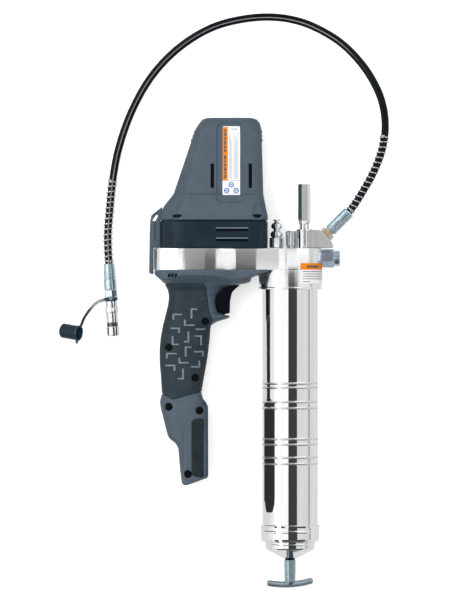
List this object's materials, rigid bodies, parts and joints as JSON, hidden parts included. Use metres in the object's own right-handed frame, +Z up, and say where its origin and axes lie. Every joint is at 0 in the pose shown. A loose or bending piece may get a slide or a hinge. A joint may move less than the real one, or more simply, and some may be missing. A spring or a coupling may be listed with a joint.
{
  "type": "grease gun",
  "caption": "Battery grease gun with pistol handle, screw-in barrel with T-handle follower, and a hose with guard springs, coupler and tethered dust cap.",
  "frame": {"origin": "middle of the gun's footprint on the surface it lies on, without the hose", "axes": "+Y along the barrel towards the motor, +X from the handle towards the barrel, +Z up"},
  "size_m": [0.3408, 0.5922, 0.07],
  "materials": {
    "chrome": "bright plated, mirror-like with faint grinding",
    "satin_steel": "machined, satin",
    "zinc": "blue zinc plate, satin",
    "steel": "ground steel",
    "spring_steel": "bright drawn wire",
    "slate_plastic": "fine spark-eroded grain, slate blue-grey",
    "dark_plastic": "smooth satin, dark blue-grey",
    "black_plastic": "satin black",
    "grip_rubber": "soft-touch overmould, charcoal",
    "black_rubber": "smooth moulded black rubber",
    "hose_rubber": "smooth extruded cover with a soft gloss",
    "black_steel": "black oxide",
    "copper": "wound copper and laminated steel"
  },
  "bodies": {
    "gun": {"pump_head": "chrome", "relief_valve": "chrome", "loader_plug": "chrome", "coupler_body": "chrome", "outlet_block": "satin_steel", "motor_mount_plate": "satin_steel", "motor_can": "satin_steel", "outlet_adapter": "zinc", "hose_ferrule_inlet": "zinc", "hose_ferrule_outlet": "zinc", "coupler_nut": "zinc", "pump_end_plug": "steel", "bleeder_body": "steel", "ring_gear": "steel", "crank_bearing": "steel", "guard_inlet": "spring_steel", "guard_outlet": "spring_steel", "check_spring": "spring_steel", "trigger_spring": "spring_steel", "motor_cover": "slate_plastic", "handle_front": "slate_plastic", "handle_back": "slate_plastic", "rear_strap_bracket": "slate_plastic", "gearcase": "dark_plastic", "switch_body": "black_plastic", "terminal_block": "black_plastic", "motor_end_bell": "black_plastic", "grip_pad_front": "grip_rubber", "grip_pad_back": "grip_rubber", "barrel_gasket": "black_rubber", "hose_tube": "hose_rubber", "cover_screw_1": "black_steel", "cover_screw_2": "black_steel", "cover_screw_3": "black_steel", "cover_screw_4": "black_steel", "handle_screw_1": "black_steel", "handle_screw_2": "black_steel", "handle_screw_3": "black_steel", "handle_screw_4": "black_steel", "handle_screw_5": "black_steel", "handle_screw_6": "black_steel"},
    "barrel": {"barrel": "chrome", "barrel_end_cap": "chrome", "rod_gland": "black_steel", "follower_spring": "spring_steel"},
    "follower_rod": {"follower_rod": "steel", "t_handle": "zinc"},
    "follower_piston": {"follower_piston": "black_rubber"},
    "trigger": {"trigger": "black_plastic"},
    "bleeder_stem": {"bleeder_stem": "chrome"},
    "check_ball": {"check_ball": "steel"},
    "crank": {"planet_carrier": "steel"},
    "planet_1": {"planet_gear_1": "steel"},
    "planet_2": {"planet_gear_2": "steel"},
    "planet_3": {"planet_gear_3": "steel"},
    "motor_rotor": {"motor_armature": "copper", "sun_gear": "steel"},
    "pump_plunger": {"pump_plunger": "steel"},
    "dust_cap": {"dust_cap": "black_rubber"}
  },
  "joints": [
    {"name": "barrel_turn", "type": "hinge", "parent": "gun", "child": "barrel", "pos_m": [0.0468, -0.0148, 0.035], "axis": [0, 1, 0], "continuous": true},
    {"name": "rod_pull", "type": "slide", "parent": "barrel", "child": "follower_rod", "axis": [0, -1, 0], "range_m": [0, 0.19]},
    {"name": "follower_travel", "type": "slide", "parent": "barrel", "child": "follower_piston", "axis": [0, -1, 0], "range_m": [0, 0.19], "deforming": ["follower_spring"]},
    {"name": "trigger_pull", "type": "slide", "parent": "gun", "child": "trigger", "axis": [-1, 0, 0], "range_m": [0, 0.007], "stiffness_N_per_m": 800, "springref_m": -0.003, "deforming": ["trigger_spring"]},
    {"name": "bleeder_press", "type": "slide", "parent": "gun", "child": "bleeder_stem", "axis": [0, -1, 0], "range_m": [0, 0.0015], "stiffness_N_per_m": 1500, "springref_m": -0.001},
    {"name": "check_ball_lift", "type": "slide", "parent": "gun", "child": "check_ball", "axis": [0, 1, 0], "range_m": [0, 0.0015], "stiffness_N_per_m": 200, "springref_m": -0.001, "deforming": ["check_spring"]},
    {"name": "crank_turn", "type": "hinge", "parent": "gun", "child": "crank", "pos_m": [-0.0192, 0.1052, 0.035], "axis": [0, 1, 0], "continuous": true},
    {"name": "motor_turn", "type": "hinge", "parent": "gun", "child": "motor_rotor", "pos_m": [-0.0192, 0.1652, 0.035], "axis": [0, 1, 0], "continuous": true},
    {"name": "planet_spin_1", "type": "hinge", "parent": "crank", "child": "planet_1", "pos_m": [-0.0057, 0.1222, 0.035], "axis": [0, 1, 0], "continuous": true},
    {"name": "planet_spin_2", "type": "hinge", "parent": "crank", "child": "planet_2", "pos_m": [-0.02595, 0.1222, 0.02331], "axis": [0, 1, 0], "continuous": true},
    {"name": "planet_spin_3", "type": "hinge", "parent": "crank", "child": "planet_3", "pos_m": [-0.02595, 0.1222, 0.04669], "axis": [0, 1, 0], "continuous": true},
    {"name": "plunger_stroke", "type": "slide", "parent": "gun", "child": "pump_plunger", "axis": [1, 0, 0], "range_m": [-0.006, 0.006]},
    {"name": "dust_cap_swing", "type": "hinge", "parent": "gun", "child": "dust_cap", "pos_m": [-0.13807, 0.05534, 0.0068], "axis": [-0.058, 0.9983, 0], "range_deg": [0, 120]}
  ],
  "couplings": [
    {"joint": "follower_travel", "follows": "rod_pull", "ratio": 1},
    {"joint": "motor_turn", "follows": "crank_turn", "ratio": 4.5},
    {"joint": "planet_spin_1", "follows": "crank_turn", "ratio": -2.8},
    {"joint": "planet_spin_2", "follows": "crank_turn", "ratio": -2.8},
    {"joint": "planet_spin_3", "follows": "crank_turn", "ratio": -2.8}
  ]
}
